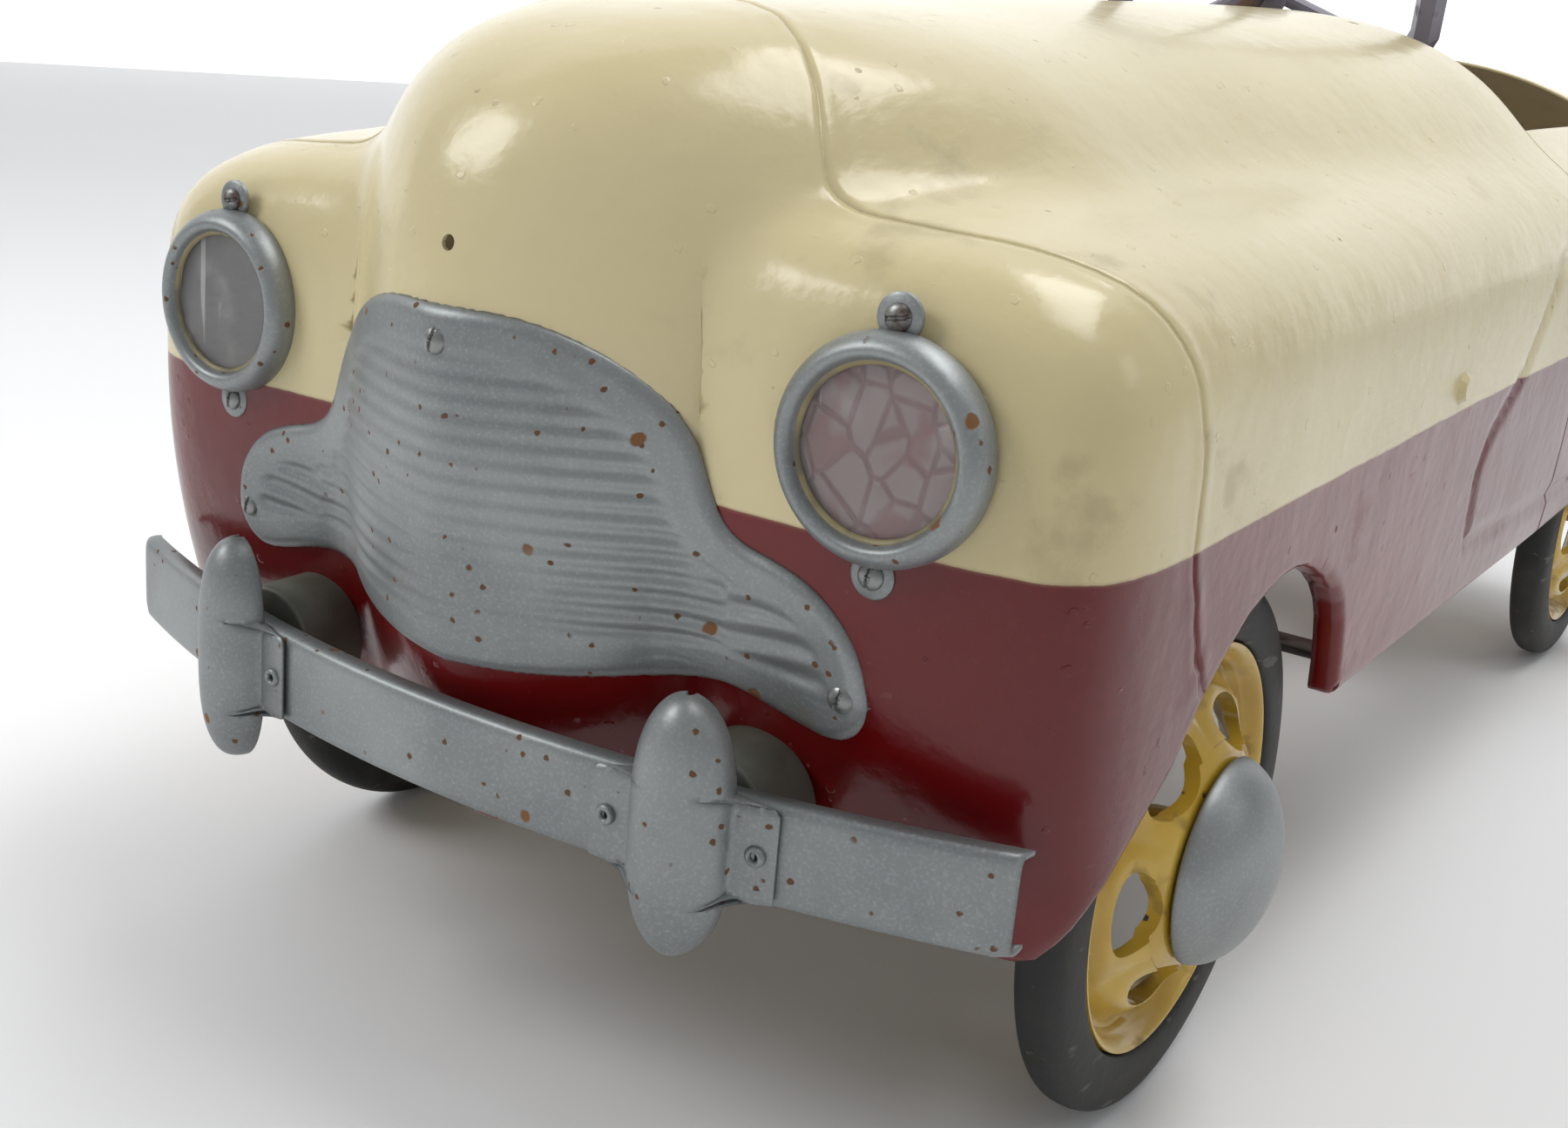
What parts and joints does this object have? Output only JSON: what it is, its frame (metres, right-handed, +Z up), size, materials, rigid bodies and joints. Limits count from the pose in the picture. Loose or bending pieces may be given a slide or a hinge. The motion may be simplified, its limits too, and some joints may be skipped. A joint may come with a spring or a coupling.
{
  "type": "pedal car",
  "caption": "Child's pressed-steel pedal car with a domed bonnet, steered front wheels, swinging pedals and a cranked rear axle.",
  "frame": {"origin": "on the ground, under the middle of the car", "axes": "+Z up, -Y towards the nose, +X towards the car's left side"},
  "size_m": [0.446, 1.0129, 0.4911],
  "materials": {
    "cream_and_red_paint": "thick glossy brushed-on enamel, cream above the waist line and deep red below, chipped",
    "silver_paint": "satin aluminium paint with rust specks",
    "yellow_paint": "glossy enamel, dirty in the recesses",
    "red_paint": "glossy enamel",
    "black_rubber": "matt, dusty",
    "dull_steel": "dull, rust-flecked",
    "clear_lens": "scratched clear plastic",
    "grey_plastic": "glossy"
  },
  "bodies": {
    "car_body": {"body_stay": "dull_steel", "bonnet_and_wings": "cream_and_red_paint", "bumper_bar": "silver_paint", "bumper_spacer_left": "silver_paint", "bumper_spacer_right": "silver_paint", "chassis_rail_left": "dull_steel", "chassis_rail_right": "dull_steel", "dash_panel": "cream_and_red_paint", "front_axle_beam": "dull_steel", "grille": "silver_paint", "grille_screw_left": "dull_steel", "grille_screw_right": "dull_steel", "grille_screw_top": "dull_steel", "headlight_backing_left": "red_paint", "headlight_backing_right": "red_paint", "headlight_bezel_left": "silver_paint", "headlight_bezel_right": "silver_paint", "headlight_lens_left": "clear_lens", "headlight_lens_right": "clear_lens", "headlight_screw_lower_left": "dull_steel", "headlight_screw_lower_right": "dull_steel", "headlight_screw_upper_left": "dull_steel", "headlight_screw_upper_right": "dull_steel", "nose_pressing": "cream_and_red_paint", "overrider_left": "silver_paint", "overrider_right": "silver_paint", "pedal_pivot_rod": "cream_and_red_paint", "rear_bearing_left": "dull_steel", "rear_bearing_right": "dull_steel", "seat": "red_paint", "side_panel_left": "cream_and_red_paint", "side_panel_right": "cream_and_red_paint", "steering_bracket": "dull_steel", "tail_pressing": "cream_and_red_paint"},
    "steering": {"steering_column": "dull_steel", "steering_wheel": "grey_plastic", "steering_wheel_cap": "red_paint"},
    "knuckle_left": {"steering_knuckle_left": "dull_steel"},
    "knuckle_right": {"steering_knuckle_right": "dull_steel"},
    "track_rod": {"track_rod": "dull_steel"},
    "wheel_front_left": {"tyre_front_left": "black_rubber", "wheel_disc_front_left": "yellow_paint", "hubcap_front_left": "silver_paint"},
    "wheel_front_right": {"tyre_front_right": "black_rubber", "wheel_disc_front_right": "yellow_paint", "hubcap_front_right": "silver_paint"},
    "wheel_rear_left": {"tyre_rear_left": "black_rubber", "wheel_disc_rear_left": "yellow_paint", "hubcap_rear_left": "silver_paint"},
    "crank_axle": {"crank_axle": "dull_steel", "tyre_rear_right": "black_rubber", "wheel_disc_rear_right": "yellow_paint", "hubcap_rear_right": "silver_paint"},
    "push_rod_left": {"push_rod_left": "dull_steel"},
    "push_rod_right": {"push_rod_right": "dull_steel"},
    "pedal_left": {"pedal_lever_left": "dull_steel", "pedal_pad_left": "black_rubber"},
    "pedal_right": {"pedal_lever_right": "dull_steel", "pedal_pad_right": "black_rubber"}
  },
  "joints": [
    {"name": "steering_turn", "type": "hinge", "parent": "car_body", "child": "steering", "pos_m": [0, -0.2625, 0.126], "axis": [0, -0.8485, -0.5291], "range_deg": [-23.77, 23.77]},
    {"name": "kingpin_left", "type": "hinge", "parent": "car_body", "child": "knuckle_left", "pos_m": [0.14, -0.3035, 0.098], "axis": [0, 0, 1], "range_deg": [-15, 15]},
    {"name": "kingpin_right", "type": "hinge", "parent": "car_body", "child": "knuckle_right", "pos_m": [-0.14, -0.3035, 0.098], "axis": [0, 0, 1], "range_deg": [-15, 15]},
    {"name": "track_rod_pin", "type": "hinge", "parent": "knuckle_left", "child": "track_rod", "pos_m": [0.14, -0.2415, 0.0928], "axis": [0, 0, 1], "range_deg": [-15, 15]},
    {"name": "front_left_spin", "type": "hinge", "parent": "knuckle_left", "child": "wheel_front_left", "pos_m": [0.182, -0.3035, 0.1], "axis": [1, 0, 0], "continuous": true},
    {"name": "front_right_spin", "type": "hinge", "parent": "knuckle_right", "child": "wheel_front_right", "pos_m": [-0.182, -0.3035, 0.1], "axis": [1, 0, 0], "continuous": true},
    {"name": "axle_spin", "type": "hinge", "parent": "car_body", "child": "crank_axle", "pos_m": [0, 0.3685, 0.1], "axis": [1, 0, 0], "continuous": true},
    {"name": "rear_left_spin", "type": "hinge", "parent": "crank_axle", "child": "wheel_rear_left", "pos_m": [0.182, 0.3685, 0.1], "axis": [1, 0, 0], "continuous": true},
    {"name": "push_rod_left_pin", "type": "hinge", "parent": "crank_axle", "child": "push_rod_left", "pos_m": [0.06, 0.3685, 0.138], "axis": [1, 0, 0], "continuous": true},
    {"name": "push_rod_right_pin", "type": "hinge", "parent": "crank_axle", "child": "push_rod_right", "pos_m": [-0.06, 0.3685, 0.062], "axis": [1, 0, 0], "continuous": true},
    {"name": "pedal_left_swing", "type": "hinge", "parent": "car_body", "child": "pedal_left", "pos_m": [0.068, -0.1075, 0.245], "axis": [1, 0, 0], "range_deg": [-15, 15]},
    {"name": "pedal_right_swing", "type": "hinge", "parent": "car_body", "child": "pedal_right", "pos_m": [-0.068, -0.1075, 0.245], "axis": [1, 0, 0], "range_deg": [-15, 15]}
  ],
  "couplings": [
    {"joint": "kingpin_left", "follows": "steering_turn", "ratio": -0.6311},
    {"joint": "kingpin_right", "follows": "steering_turn", "ratio": -0.6311},
    {"joint": "track_rod_pin", "follows": "steering_turn", "ratio": 0.6311},
    {"joint": "push_rod_left_pin", "follows": "axle_spin", "ratio": -1},
    {"joint": "push_rod_right_pin", "follows": "axle_spin", "ratio": -1},
    {"joint": "pedal_right_swing", "follows": "pedal_left_swing", "ratio": -1}
  ]
}
